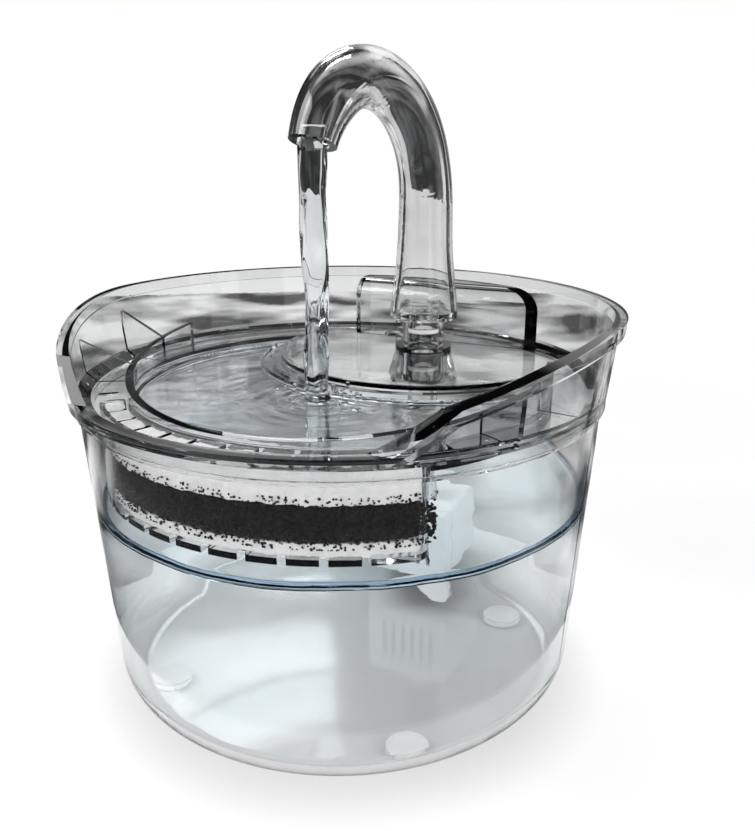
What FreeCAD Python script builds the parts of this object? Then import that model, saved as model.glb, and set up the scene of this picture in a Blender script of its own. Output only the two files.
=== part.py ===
"""Pet water fountain: a clear bucket tank, a lift-off tray with a swan-neck tap, a hung
filter box and a small submersible pump. Millimetres, +Z up, the drinking side faces -Y,
origin on the table at the middle of the foot pads."""
import FreeCAD, Part
import math
import os
import re
import Sketcher
from FreeCAD import Placement, Rotation, Vector

doc = FreeCAD.newDocument("pet_water_fountain")
sizes = doc.addObject("Spreadsheet::Sheet", "sizes")
worked = doc.addObject("Spreadsheet::Sheet", "worked")

# Driving dimensions: alias, value in mm, degrees or a count, meaning
DRIVING = [
    ("gap", 0.3, "clearance between pieces that move apart"),
    ("run_fit", 0.05, "radial clearance of a shaft or plug in its bore"),
    ("pad_stand", 2.5, "height of the tank underside above the table"),
    ("tank_wall", 2.0, "thickness of the tank wall"),
    ("tank_floor_wall", 2.2, "thickness of the tank floor"),
    ("tank_base_r", 80.7, "outer radius of the tank wall carried down to the table"),
    ("tank_top_r", 87.2, "outer radius of the tank wall at the rim"),
    ("tank_height", 107.4, "height of the tank rim above the table"),
    ("tank_corner_r", 13.0, "outer rounding of the tank bottom"),
    ("bead_out", 1.0, "how far the rim bead stands out"),
    ("bead_high", 3.4, "height of the rim bead"),
    ("pad_r", 6.75, "radius of a foot pad"),
    ("pad_inset", 17.7, "distance of the foot pads' ring inside the tank's foot"),
    ("pad_edge", 0.8, "chamfer of a foot pad"),
    ("pad_turn", 45.0, "angle of the first foot pad"),
    ("pad_seat", 0.6, "depth of the seat of a foot pad"),
    ("pad_dish", 0.5, "depth of the dish under a foot pad"),
    ("tray_wall", 2.0, "thickness of the tray wall"),
    ("tray_over", 1.2, "how far the tray wall stands out over the tank rim"),
    ("tray_flare", 2.6, "how far the tray wall flares out up to the high rim"),
    ("tray_rise", 24.8, "height of the high rim above the seat"),
    ("front_rise", 2.8, "height of the low drinking edge above the seat"),
    ("ramp_rise", 13.8, "height above the seat where the ramp meets the side rim"),
    ("ramp_foot_y", 73.6, "distance in front of the centre where the ramp starts"),
    ("ramp_head_y", 63.0, "distance in front of the centre where the ramp ends"),
    ("lip_out", 1.8, "how far the rolled lip stands out"),
    ("lip_high", 4.2, "height of the rolled lip"),
    ("skirt_wall", 1.8, "thickness of the skirt inside the tank rim"),
    ("skirt_drop", 6.5, "length of the skirt below the seat"),
    ("deck_drop", 0.7, "how far the deck lies below the seat"),
    ("deck_wall", 2.0, "thickness of the deck"),
    ("bowl_r", 69.6, "inner radius of the drinking bowl"),
    ("bowl_wall", 2.4, "thickness of the bowl ring"),
    ("bowl_depth", 6.5, "depth of the bowl floor below the deck"),
    ("bowl_floor_wall", 2.0, "thickness of the bowl floor"),
    ("ring_front_rise", 1.0, "height of the bowl ring above the deck at the front"),
    ("ring_side_rise", 11.0, "height of the bowl ring above the deck at its ends"),
    ("ring_end_y", 8.0, "distance behind the centre where the bowl ring ends"),
    ("terrace_r", 56.0, "radius of the raised rear terrace round the tap"),
    ("terrace_run", 3.5, "width of each step in front of the terrace"),
    ("rib_wall", 1.8, "thickness of the ribs beside the bowl ring"),
    ("front_rib_turn", 30.0, "angle of the front ribs below the side axis"),
    ("rear_rib_turn", 7.0, "angle of the rear ribs below the side axis"),
    ("rib_rise", 9.0, "how much a rib climbs from the ring to the wall"),
    ("slot_count", 14, "number of drain slots"),
    ("slot_pitch", 7.5, "angle between drain slots"),
    ("slot_wide", 1.8, "width of a drain slot"),
    ("slot_inner_r", 74.5, "inner end of the drain slots"),
    ("slot_outer_r", 80.5, "outer end of the drain slots"),
    ("tap_x", 8.5, "side offset of the tap"),
    ("tap_back", 26.984, "distance of the tap's axis from the tank wall behind it"),
    ("tap_turn", -7.4, "resting turn of the tap about its own axis"),
    ("socket_r", 8.0, "outer radius of the tap socket"),
    ("socket_bore_r", 6.2, "bore radius of the tap socket"),
    ("socket_rise", 12.2, "height of the tap socket above the deck"),
    ("socket_flange_r", 11.0, "flange radius of the tap socket"),
    ("socket_flange_wall", 1.6, "flange thickness of the tap socket"),
    ("socket_drop", 12.0, "length of the tap socket below the deck"),
    ("nut_top_r", 11.5, "corner radius of the socket nut at the deck"),
    ("nut_foot_r", 15.0, "corner radius of the socket nut at its flared foot"),
    ("nut_high", 11.0, "height of the socket nut"),
    ("tap_collar_r", 13.3, "radius of the tap at its foot"),
    ("tap_knee_r", 11.7, "radius of the tap leg above the foot"),
    ("tap_leg_r", 10.4, "radius of the tap leg at half height"),
    ("tap_arch_r", 9.6, "radius of the tap tube in the arch"),
    ("tap_outlet_r", 7.6, "radius of the tap tube at the outlet"),
    ("tap_wall", 2.4, "wall of the tap tube"),
    ("tap_collar_high", 4.0, "height of the straight foot of the tap"),
    ("tap_leg_high", 44.5, "height of the tap leg up to the arch"),
    ("tap_bend_r", 40.0, "centreline radius of the rear half of the arch"),
    ("tap_drop_r", 31.0, "centreline radius of the front half of the arch"),
    ("tap_outlet_turn", 70.0, "angle of the front half of the arch"),
    ("spigot_length", 9.0, "length of the tap spigot"),
    ("spigot_bore_r", 3.4, "bore radius of the tap spigot"),
    ("seal_section_r", 0.85, "section radius of the tap seal ring"),
    ("seal_drop", 5.0, "distance of the seal ring below the tap foot"),
    ("cover_left", 28.0, "left end of the cable cover from the centre"),
    ("cover_high", 23.0, "height of the cable cover"),
    ("cover_wall", 1.6, "wall of the cable cover"),
    ("cover_round_r", 8.0, "rounding of the cable cover's front edge"),
    ("cover_space", 0.5, "space between the tap foot and the cable cover"),
    ("cable_hole_r", 5.0, "radius of the cable hole in the deck"),
    ("cable_hole_x", 12.0, "distance of the cable hole left of the centre"),
    ("cable_notch_wide", 7.0, "width of the cable notch in the rear wall"),
    ("cable_notch_high", 7.0, "height of the cable notch in the rear wall"),
    ("filter_space", 2.56, "space between the filter box and the tank wall"),
    ("filter_back_y", 52.0, "distance of the filter box's back wall in front of the centre"),
    ("filter_high", 27.7, "height of the filter box"),
    ("filter_wall", 1.5, "wall of the filter box"),
    ("filter_corner_r", 5.0, "rounding of the filter box's upright corners"),
    ("cotton_low_high", 4.7, "thickness of the lower cotton pad"),
    ("carbon_high", 10.0, "thickness of the carbon layer"),
    ("media_space", 0.2, "space between the filter layers and the box"),
    ("drain_count", 9, "number of drain rows in the filter box floor"),
    ("drain_pitch", 8.0, "angle between drain rows"),
    ("drain_wide", 2.4, "width of a drain opening"),
    ("cup_r", 4.8, "radius of a suction cup"),
    ("cup_high", 3.6, "height of the pump above the tank floor"),
    ("cup_neck_r", 2.0, "neck radius of a suction cup"),
    ("cup_neck_deep", 1.2, "depth of the neck in the pump"),
    ("cup_side_inset", 8.0, "distance of a suction cup from the pump's sides"),
    ("cup_front_inset", 5.6, "distance of the front suction cups from the pump's front"),
    ("cup_back_inset", 9.9, "distance of the rear suction cups from the pump's back plate"),
    ("pump_wide", 34.0, "width of the pump"),
    ("pump_high", 30.0, "height of the pump"),
    ("pump_round_r", 3.0, "rounding of the pump's edges"),
    ("pump_wall", 1.8, "wall of the pump casing"),
    ("cover_front", 16.0, "distance of the intake cover's face in front of the tap axis"),
    ("intake_deep", 8.0, "depth of the intake cover"),
    ("intake_wall", 1.6, "wall of the intake cover"),
    ("housing_deep", 25.6, "depth of the pump casing"),
    ("back_plate_wall", 1.5, "thickness of the pump's back plate"),
    ("intake_slot_wide", 1.6, "width of an intake slot"),
    ("intake_slot_high", 16.0, "height of an intake slot"),
    ("intake_slot_pitch", 4.0, "distance between intake slots"),
    ("intake_slot_count", 6, "number of intake slots"),
    ("sponge_deep", 2.6, "thickness of the intake sponge"),
    ("shutter_wall", 1.0, "thickness of the flow shutter"),
    ("shutter_edge", 3.0, "shutter plate beyond the middle of its end slots"),
    ("thumb_wide", 6.0, "width of the flow slider's thumb piece"),
    ("thumb_high", 2.0, "height of the flow slider's thumb piece"),
    ("flow_travel", 2.0, "travel of the flow slider"),
    ("volute_wall", 1.6, "thickness of the chamber plate"),
    ("chamber_r", 11.0, "radius of the impeller chamber"),
    ("chamber_deep", 11.0, "depth of the impeller chamber"),
    ("intake_eye_r", 4.6, "radius of the intake eye"),
    ("well_r", 5.2, "radius of the rotor well"),
    ("well_deep", 11.5, "depth of the rotor well"),
    ("well_wall", 1.2, "wall of the rotor well"),
    ("rotor_side_gap", 0.5, "gap around the rotor magnet"),
    ("shaft_r", 1.0, "radius of the impeller shaft"),
    ("bush_r", 2.4, "outer radius of a shaft bush"),
    ("bush_deep", 2.4, "length of a shaft bush"),
    ("impeller_r", 9.4, "radius of the impeller"),
    ("impeller_hub_r", 3.0, "hub radius of the impeller"),
    ("impeller_deep", 6.5, "depth of the impeller"),
    ("impeller_plate", 1.2, "back plate of the impeller"),
    ("blade_wall", 1.2, "thickness of an impeller blade"),
    ("blade_count", 6, "number of impeller blades"),
    ("nipple_r", 4.85, "outer radius of the pump's outlet nipple"),
    ("nipple_bore_r", 3.2, "bore radius of the pump's outlet nipple"),
    ("nipple_high", 11.0, "height of the pump's outlet nipple"),
    ("riser_foot_r", 7.0, "outer radius of the riser tube at the pump"),
    ("riser_up", 1.0, "height of the riser tube's upper end above the deck"),
    ("gland_r", 3.4, "outer radius of the cable gland"),
    ("gland_bore_r", 1.4, "bore radius of the cable gland"),
    ("gland_long", 5.0, "length of the cable gland outside the pump"),
    ("gland_tip_wall", 0.8, "wall of the cable gland at its tip"),
    ("spoke_wide", 1.2, "width of a spoke across the intake eye"),
    ("bush_seat_wall", 0.9, "wall round the front bush"),
    ("core_wide", 22.0, "width of the stator core"),
    ("core_leg", 4.0, "width of a stator leg"),
    ("core_deep", 8.0, "depth of the stator core"),
    ("coil_build", 1.6, "thickness of the stator winding"),
]

# Worked-out dimensions: alias and formula in terms of the aliases above
WORKED = [
    ("tank_slope", "(tank_top_r - tank_base_r) / tank_height"),
    ("tank_low", "pad_stand"),
    ("pad_ring_r", "tank_base_r - pad_inset"),
    ("tank_inside_low", "pad_stand + tank_floor_wall"),
    ("tank_low_r", "tank_base_r + tank_slope * tank_low"),
    ("tank_inside_low_r", "tank_base_r + tank_slope * tank_inside_low - tank_wall"),
    ("tank_inside_top_r", "tank_top_r - tank_wall"),
    ("tank_inner_corner_r", "tank_corner_r - tank_wall"),
    ("bead_r", "tank_top_r + bead_out"),
    ("bead_low", "tank_height - bead_high"),
    ("bead_root", "bead_low - bead_out"),
    ("bead_root_r", "tank_base_r + tank_slope * bead_root"),
    ("seat_z", "tank_height + gap"),
    ("rim_z", "seat_z + tray_rise"),
    ("tray_base_r", "tank_top_r + tray_over"),
    ("tray_rim_r", "tray_base_r + tray_flare"),
    ("reach", "tray_rim_r + lip_out + 20"),
    ("front_z", "seat_z + front_rise"),
    ("ramp_z", "seat_z + ramp_rise"),
    ("rim_bow_drop", "rim_z - ramp_z"),
    ("rim_bow_r", "(ramp_head_y * ramp_head_y + rim_bow_drop * rim_bow_drop) / (2 * rim_bow_drop)"),
    ("deck_z", "seat_z - deck_drop"),
    ("deck_under", "deck_z - deck_wall"),
    ("tray_inner_rim_r", "tray_rim_r - tray_wall"),
    ("tray_inner_foot_r", "tray_base_r - tray_wall"),
    ("tray_inner_foot_z", "seat_z + 1.25 * tray_wall"),
    ("skirt_r", "tank_top_r - tank_slope * skirt_drop - tank_wall - gap"),
    ("skirt_inner_r", "skirt_r - skirt_wall"),
    ("deck_r", "skirt_inner_r + 0.2"),
    ("skirt_low", "seat_z - skirt_drop"),
    ("ring_r", "bowl_r + bowl_wall"),
    ("bowl_z", "deck_z - bowl_depth"),
    ("bowl_under", "bowl_z - bowl_floor_wall"),
    ("ring_front_z", "deck_z + ring_front_rise"),
    ("ring_side_z", "deck_z + ring_side_rise"),
    ("terrace_mid_r", "terrace_r + terrace_run"),
    ("terrace_low_r", "terrace_r + 2 * terrace_run"),
    ("terrace_mid_z", "deck_z - bowl_depth / 3"),
    ("terrace_low_z", "deck_z - 2 * bowl_depth / 3"),
    ("tap_y", "tank_inside_low_r - tap_back"),
    ("socket_z", "deck_z + socket_rise"),
    ("socket_flange_z", "deck_z + socket_flange_wall"),
    ("socket_low", "deck_under - socket_drop"),
    ("socket_hole_r", "socket_r + run_fit"),
    ("nut_low", "deck_under - nut_high"),
    ("tap_z", "socket_z + gap"),
    ("tap_collar_z", "tap_z + tap_collar_high"),
    ("tap_knee_z", "tap_z + tap_leg_high / 3"),
    ("tap_mid_z", "tap_z + tap_leg_high * 2 / 3"),
    ("tap_leg_z", "tap_z + tap_leg_high"),
    ("tap_top_z", "tap_leg_z + tap_bend_r"),
    ("spigot_r", "socket_bore_r - gap"),
    ("spigot_low", "tap_z - spigot_length"),
    ("seal_z", "tap_z - seal_drop"),
    ("seal_ring_r", "socket_bore_r - 2 * run_fit - seal_section_r"),
    ("seal_inner_r", "seal_ring_r - seal_section_r"),
    ("cover_front_y", "tap_y + tap_collar_r + cover_space"),
    ("cover_z", "deck_z + cover_high"),
    ("cover_r", "deck_r - gap"),
    ("cover_inner_front", "cover_front_y + cover_wall"),
    ("cover_inner_left", "cover_left - cover_wall"),
    ("cover_inner_r", "cover_r - cover_wall"),
    ("cover_inner_z", "cover_z - cover_wall"),
    ("cover_inner_round_r", "cover_round_r - cover_wall"),
    ("cable_hole_y", "cover_front_y + cover_wall + cable_hole_r"),
    ("notch_low", "deck_z"),
    ("notch_z", "deck_z + cable_notch_high"),
    ("filter_z", "deck_under - gap"),
    ("filter_low", "filter_z - filter_high"),
    ("filter_r", "tank_base_r + tank_slope * filter_low - tank_wall - filter_space"),
    ("filter_notch_r", "ring_r + 2 * gap"),
    ("filter_notch_z", "bowl_under - gap"),
    ("filter_inner_r", "filter_r - filter_wall"),
    ("filter_inner_back", "filter_back_y + filter_wall"),
    ("filter_floor_z", "filter_low + filter_wall"),
    ("filter_inner_corner_r", "filter_corner_r - filter_wall"),
    ("media_r", "filter_inner_r - media_space"),
    ("media_back", "filter_inner_back + media_space"),
    ("media_corner_r", "filter_inner_corner_r - media_space"),
    ("carbon_low", "filter_floor_z + cotton_low_high"),
    ("carbon_z", "carbon_low + carbon_high"),
    ("cotton_notch_r", "filter_notch_r + media_space"),
    ("cotton_z", "filter_z - media_space"),
    ("cotton_back_z", "filter_notch_z - media_space"),
    ("pump_low", "tank_inside_low + cup_high"),
    ("pump_z", "pump_low + pump_high"),
    ("pump_half", "pump_wide / 2"),
    ("pump_left", "tap_x - pump_half"),
    ("pump_right", "tap_x + pump_half"),
    ("intake_y", "tap_y - cover_front"),
    ("housing_y", "intake_y + intake_deep + gap"),
    ("back_plate_y", "housing_y + housing_deep"),
    ("pump_back_y", "back_plate_y + back_plate_wall"),
    ("axis_z", "pump_low + pump_high / 2"),
    ("chamber_back_y", "housing_y + chamber_deep"),
    ("well_back_y", "chamber_back_y + well_deep"),
    ("well_outer_r", "well_r + well_wall"),
    ("well_end_y", "well_back_y + well_wall"),
    ("motor_space_y", "chamber_back_y + pump_wall"),
    ("volute_y", "housing_y - volute_wall"),
    ("rotor_r", "well_r - rotor_side_gap"),
    ("rotor_front_y", "chamber_back_y - gap"),
    ("rotor_back_y", "well_back_y - bush_deep - gap"),
    ("impeller_front_y", "rotor_front_y - impeller_deep"),
    ("impeller_plate_y", "rotor_front_y - impeller_plate"),
    ("shaft_bore_r", "shaft_r + run_fit"),
    ("bush_front_y", "impeller_front_y - gap - bush_deep"),
    ("bush_front_end_y", "impeller_front_y - gap"),
    ("bush_rear_y", "well_back_y - bush_deep"),
    ("nipple_z", "pump_z + nipple_high"),
    ("riser_bore_r", "nipple_r + run_fit"),
    ("riser_r", "socket_bore_r - gap"),
    ("riser_z", "deck_z + riser_up"),
    ("gland_x", "tap_x - pump_half / 2"),
    ("gland_z", "pump_z - 7"),
    ("gland_neck_r", "gland_r - 1"),
    ("lip_foot_r", "tray_base_r + lip_out"),
    ("lip_rim_r", "tray_rim_r + lip_out"),
    ("lip_root_foot_r", "tray_base_r - tray_wall / 4"),
    ("lip_root_rim_r", "tray_rim_r - tray_wall / 4"),
    ("rib_inner_r", "ring_r - bowl_wall / 2"),
    ("rib_outer_r", "tray_base_r - tray_wall / 2"),
    ("ring_climb", "(ring_side_z - ring_front_z) / (ring_end_y + ring_r)"),
    ("rib_front_ring_z", "ring_front_z + ring_climb * ring_r * (1 - sin(front_rib_turn))"),
    ("rib_rear_ring_z", "ring_front_z + ring_climb * ring_r * (1 - sin(rear_rib_turn))"),
    ("rib_front_wall_z", "rib_front_ring_z + rib_rise"),
    ("rib_rear_wall_z", "rib_rear_ring_z + rib_rise"),
    ("deck_z_above", "deck_z + 1"),
    ("drain_inner_r", "filter_back_y + 6"),
    ("drain_outer_r", "filter_r + 1"),
    ("drain_low", "filter_low - 1"),
    ("drain_z", "filter_floor_z + 1"),
]
DRIVING_NAMES = {alias for alias, value, note in DRIVING}
WORKED_NAMES = {alias for alias, formula in WORKED}


def expression(text):
    """The text with every alias written as a cell of its sheet."""
    def cell(match):
        word = match.group(0)
        if word in DRIVING_NAMES:
            return "sizes." + word
        if word in WORKED_NAMES:
            return "worked." + word
        return word
    return re.sub(r"[a-z_][a-z0-9_]*", cell, str(text))


for row, (alias, value, note) in enumerate(DRIVING, start=1):
    sizes.set(f"A{row}", note)
    sizes.set(f"B{row}", str(value))
    sizes.setAlias(f"B{row}", alias)
doc.recompute()
for row, (alias, formula) in enumerate(WORKED, start=1):
    worked.set(f"B{row}", "=" + expression(formula))
    worked.setAlias(f"B{row}", alias)
doc.recompute()


def val(name):
    """The number behind an alias, a negated alias or a plain number."""
    if name.lstrip("-").isdigit():
        return float(name)
    if name.startswith("-"):
        return -val(name[1:])
    if name in DRIVING_NAMES:
        return float(sizes.get(name))
    return float(worked.get(name))


def bind(item, **properties):
    """Binds properties of an object to formulas in the sheets."""
    for name, text in properties.items():
        item.setExpression(name.replace("__", "."), expression(text))
    return item


def at(item, x="0", y="0", z="0"):
    """Binds the place of an object."""
    return bind(item, Placement__Base__x=x, Placement__Base__y=y, Placement__Base__z=z)


def upright(name, radius, low, high, x="0", y="0"):
    """A cylinder along Z between two heights."""
    item = doc.addObject("Part::Cylinder", name)
    bind(item, Radius=radius, Height=f"({high}) - ({low})")
    return at(item, x, y, low)


def lying(name, radius, front, back, x="tap_x", z="axis_z"):
    """A cylinder along Y between two depths."""
    item = doc.addObject("Part::Cylinder", name)
    item.Placement = Placement(Vector(), Rotation(Vector(1, 0, 0), -90))
    bind(item, Radius=radius, Height=f"({back}) - ({front})")
    return at(item, x, front, z)


def block(name, x_low, x_high, y_low, y_high, z_low, z_high):
    """A box between two corners."""
    item = doc.addObject("Part::Box", name)
    bind(item, Length=f"({x_high}) - ({x_low})", Width=f"({y_high}) - ({y_low})", Height=f"({z_high}) - ({z_low})")
    return at(item, x_low, y_low, z_low)


def cut(name, base, *tools):
    """base with the tools taken away."""
    item = doc.addObject("Part::Cut", name)
    item.Base = base
    item.Tool = tools[0] if len(tools) == 1 else fuse(name + "_tools", *tools)
    return item


def fuse(name, *parts):
    item = doc.addObject("Part::MultiFuse", name)
    item.Shapes = list(parts)
    item.Refine = True
    return item


def common(name, *parts):
    item = doc.addObject("Part::MultiCommon", name)
    item.Shapes = list(parts)
    item.Refine = True
    return item


def outline(name, points, placement):
    """A closed sketch through points named in the sheets. A point with a third entry
    starts an arc of that radius, turning anticlockwise to the next point."""
    sketch = doc.addObject("Sketcher::SketchObject", name)
    sketch.Placement = placement
    numbers = [(val(point[0]), val(point[1])) for point in points]
    for index, point in enumerate(points):
        start = numbers[index]
        end = numbers[(index + 1) % len(points)]
        if len(point) > 2:
            sketch.addGeometry(arc_between(start, end, val(point[2])), False)
        else:
            sketch.addGeometry(Part.LineSegment(Vector(*start, 0), Vector(*end, 0)), False)
    for index, point in enumerate(points):
        start_vertex = 1
        sketch.addConstraint(constraint_of("Coincident", previous_end(index, len(points)), index, start_vertex))
        hold(sketch, "DistanceX", index, start_vertex, point[0], numbers[index][0])
        hold(sketch, "DistanceY", index, start_vertex, point[1], numbers[index][1])
        if len(point) > 2:
            number = sketch.addConstraint(Sketcher.Constraint("Radius", index, val(point[2])))
            sketch.setExpression(f"Constraints[{number}]", expression(point[2]))
    return sketch


def previous_end(index, count):
    return (index - 1) % count


def constraint_of(kind, line_before, line, vertex):
    end_vertex = 2
    return Sketcher.Constraint(kind, line_before, end_vertex, line, vertex)


def hold(sketch, kind, line, vertex, formula, number):
    """Fixes one coordinate of a sketch point to a formula."""
    origin_line, origin_vertex = -1, 1
    place = sketch.addConstraint(Sketcher.Constraint(kind, origin_line, origin_vertex, line, vertex, number))
    sketch.setExpression(f"Constraints[{place}]", expression(str(formula)))


def arc_between(start, end, radius):
    """An anticlockwise arc of under half a turn between two points."""
    chord = (end[0] - start[0], end[1] - start[1])
    length = math.hypot(*chord)
    rise = math.sqrt(max(radius * radius - length * length / 4, 0))
    centre = ((start[0] + end[0]) / 2 - chord[1] / length * rise, (start[1] + end[1]) / 2 + chord[0] / length * rise)
    first = math.atan2(start[1] - centre[1], start[0] - centre[0])
    last = math.atan2(end[1] - centre[1], end[0] - centre[0])
    circle = Part.Circle(Vector(*centre, 0), Vector(0, 0, 1), radius)
    return Part.ArcOfCircle(circle, first, last)


FRONT_PLANE = Placement(Vector(), Rotation(Vector(1, 0, 0), 90))
SIDE_PLANE = Placement(Vector(), Rotation(Vector(0, 0, 1), 90)).multiply(FRONT_PLANE)


def turned(name, points):
    """A solid turned about Z from an outline of radii and heights."""
    item = doc.addObject("Part::Revolution", name)
    item.Source = outline(name + "_profile", points, FRONT_PLANE)
    item.Axis = Vector(0, 0, 1)
    item.Base = Vector()
    item.Angle = 360
    item.Solid = True
    return item


def side_prism(name, points, half_width):
    """A solid with an outline in Y and Z, running the same way to both sides in X."""
    item = doc.addObject("Part::Extrusion", name)
    item.Base = outline(name + "_profile", points, SIDE_PLANE)
    item.DirMode = "Normal"
    item.Solid = True
    item.Symmetric = True
    return bind(item, LengthFwd=f"2 * ({half_width})")


def radial_prism(name, points, thickness, turn):
    """A plate with an outline in radius and height, standing on a ray from the centre."""
    plane = Placement(Vector(), Rotation(Vector(0, 0, 1), turn)).multiply(FRONT_PLANE)
    item = doc.addObject("Part::Extrusion", name)
    item.Base = outline(name + "_profile", points, plane)
    item.DirMode = "Normal"
    item.Solid = True
    item.Symmetric = True
    return bind(item, LengthFwd=thickness)


def round_edges(name, base, radius, chosen):
    """Rounds the edges of base that chosen picks, by their middle point and direction."""
    doc.recompute()
    item = doc.addObject("Part::Fillet", name)
    item.Base = base
    size = val(radius)
    item.Edges = [(number, size, size) for number, edge in enumerate(base.Shape.Edges, start=1) if chosen(edge)]
    if not item.Edges:
        raise RuntimeError(name + " found no edge to round")
    return item


def middle(edge):
    return edge.valueAt((edge.FirstParameter + edge.LastParameter) / 2)


def is_near(a, b):
    return abs(a - b) < 0.01


def is_upright(edge):
    first, last = edge.Vertexes[0].Point, edge.Vertexes[-1].Point
    return is_near(first.x, last.x) and is_near(first.y, last.y) and abs(first.z - last.z) > 1


NODES = []


def node(label, item, place=None):
    """Keeps the finished solid of one piece under the name of its file."""
    item.Label = label
    if place is not None:
        item.Placement = place
    NODES.append(item)
    return item


def make_tank():
    """The clear bucket: a tapered wall, a flat floor with a large rounding and a rim bead."""
    outside = turned("tank_outside", [
        ("0", "tank_low"),
        ("tank_low_r", "tank_low"),
        ("bead_root_r", "bead_root"),
        ("bead_r", "bead_low"),
        ("bead_r", "tank_height"),
        ("0", "tank_height"),
    ])
    inside = turned("tank_inside", [
        ("0", "tank_inside_low"),
        ("tank_inside_low_r", "tank_inside_low"),
        ("tank_inside_top_r", "tank_height"),
        ("0", "tank_height"),
    ])
    outer = round_edges("tank_outer_round", outside, "tank_corner_r",
                        lambda edge: is_near(edge.BoundBox.ZMax, val("tank_low")) and edge.Length > val("tank_base_r"))
    inner = round_edges("tank_inner_round", inside, "tank_inner_corner_r",
                        lambda edge: is_near(edge.BoundBox.ZMax, val("tank_inside_low"))
                        and edge.Length > val("tank_base_r"))
    seats = []
    for number in range(4):
        x, y = pad_place(number)
        seats.append(upright(f"pad_seat_{number}", "pad_r + run_fit", "tank_low - 1", "tank_low + pad_seat", x, y))
    node("tank", cut("tank_shell", outer, inner, *seats))


def pad_place(number):
    """Where a foot pad stands, as formulas."""
    turn = f"(pad_turn + {90 * number})"
    return f"pad_ring_r * cos({turn})", f"pad_ring_r * sin({turn})"


def make_foot_pads():
    """Four soft pads in seats under the tank, with chamfered edges and a shallow dish."""
    names = ["foot_pad_rear_right", "foot_pad_rear_left", "foot_pad_front_left", "foot_pad_front_right"]
    for number, label in enumerate(names):
        x, y = pad_place(number)
        body = upright(f"pad_body_{number}", "pad_r", "pad_edge", "tank_low + pad_seat", x, y)
        foot = doc.addObject("Part::Cone", f"pad_foot_{number}")
        bind(foot, Radius1="pad_r - pad_edge", Radius2="pad_r", Height="pad_edge")
        at(foot, x, y, "0")
        dish = upright(f"pad_dish_{number}", "pad_r / 2", "-1", "pad_dish", x, y)
        node(label, cut(f"pad_{number}", fuse(f"pad_whole_{number}", body, foot), dish))


def rim_keep(name, drop):
    """Everything under the rim's side view, lowered by drop: low at the front, a short
    ramp on each side, a bowed climb to the sides and level at the back."""
    reach = val("reach")
    lowered = {}
    for alias in ("front_z", "ramp_z", "rim_z"):
        lowered[alias] = f"{alias} - ({drop})"
    sketch = doc.addObject("Sketcher::SketchObject", name + "_profile")
    sketch.Placement = SIDE_PLANE
    drop_number = val(drop)
    points = [
        (-reach, 0, "-reach", "0"),
        (reach, 0, "reach", "0"),
        (reach, val("rim_z") - drop_number, "reach", lowered["rim_z"]),
        (0, val("rim_z") - drop_number, "0", lowered["rim_z"]),
        (-val("ramp_head_y"), val("ramp_z") - drop_number, "-ramp_head_y", lowered["ramp_z"]),
        (-val("ramp_foot_y"), val("front_z") - drop_number, "-ramp_foot_y", lowered["front_z"]),
        (-reach, val("front_z") - drop_number, "-reach", lowered["front_z"]),
    ]
    bow_index = 3
    for index, point in enumerate(points):
        start, end = point[:2], points[(index + 1) % len(points)][:2]
        if index == bow_index:
            sketch.addGeometry(arc_between(start, end, val("rim_bow_r")), False)
        else:
            sketch.addGeometry(Part.LineSegment(Vector(*start, 0), Vector(*end, 0)), False)
    for index, point in enumerate(points):
        sketch.addConstraint(constraint_of("Coincident", previous_end(index, len(points)), index, 1))
        hold(sketch, "DistanceX", index, 1, point[2], point[0])
        hold(sketch, "DistanceY", index, 1, point[3], point[1])
    bow = sketch.addConstraint(Sketcher.Constraint("Radius", bow_index, val("rim_bow_r")))
    sketch.setExpression(f"Constraints[{bow}]", expression("rim_bow_r"))
    item = doc.addObject("Part::Extrusion", name)
    item.Base = sketch
    item.DirMode = "Normal"
    item.Solid = True
    item.Symmetric = True
    return bind(item, LengthFwd="2 * reach")


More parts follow.
